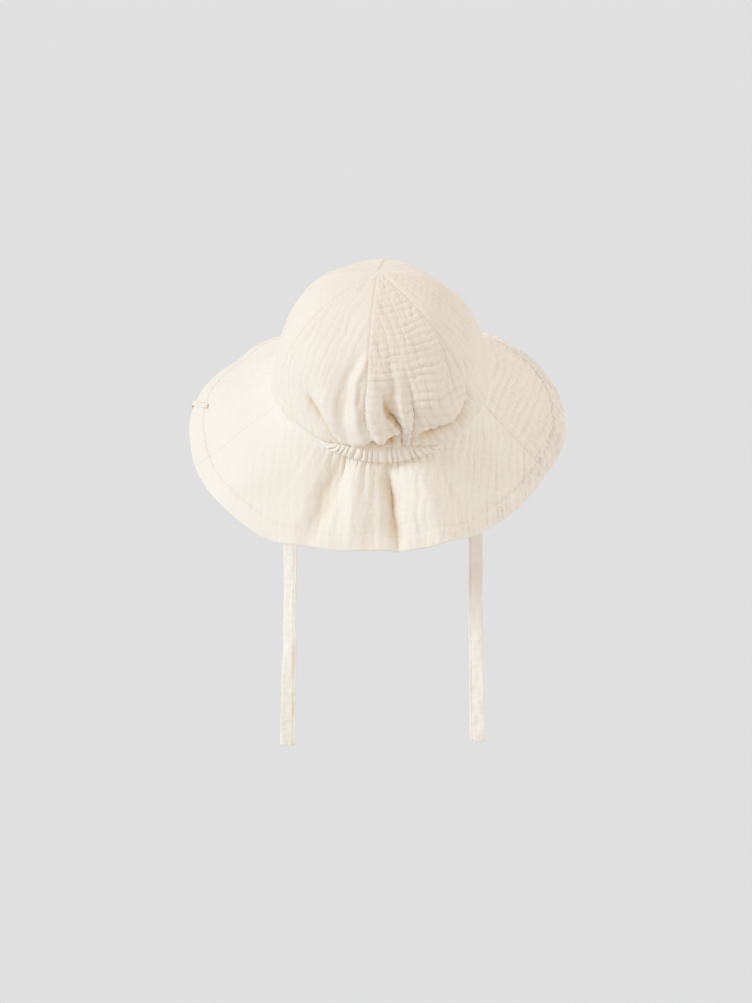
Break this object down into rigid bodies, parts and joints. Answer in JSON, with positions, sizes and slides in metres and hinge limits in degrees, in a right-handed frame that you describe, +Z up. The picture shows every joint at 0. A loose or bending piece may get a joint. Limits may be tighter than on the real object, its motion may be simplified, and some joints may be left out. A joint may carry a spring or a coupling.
{
  "type": "baby sun hat",
  "caption": "Baby's sun hat of crinkled double muslin: a panelled crown, a soft drooping brim gathered at the nape by an elastic casing, and flat ties that hang below it.",
  "frame": {"origin": "centre of the head opening, in the plane of the seam between crown and brim", "axes": "+Z up the head's vertical, +X to the wearer's right, +Y towards the wearer's face, -Y to the gathered nape; the hat leans back 18 degrees about X"},
  "size_m": [0.27, 0.247, 0.3677],
  "materials": {
    "muslin": "crinkled double cotton muslin, matt",
    "casing": "gathered double cotton muslin, matt",
    "tie": "flat sewn cotton muslin tube, matt",
    "tape": "blank woven cotton tape"
  },
  "bodies": {
    "root": {"crown_back_right": "muslin", "crown_side_right": "muslin", "crown_front_right": "muslin", "crown_front_left": "muslin", "crown_side_left": "muslin", "crown_back_left": "muslin", "brim_back": "muslin", "brim_front": "muslin", "nape_casing": "casing", "edge_tab": "tape", "tie_right": "tie", "tie_left": "tie"}
  },
  "joints": []
}
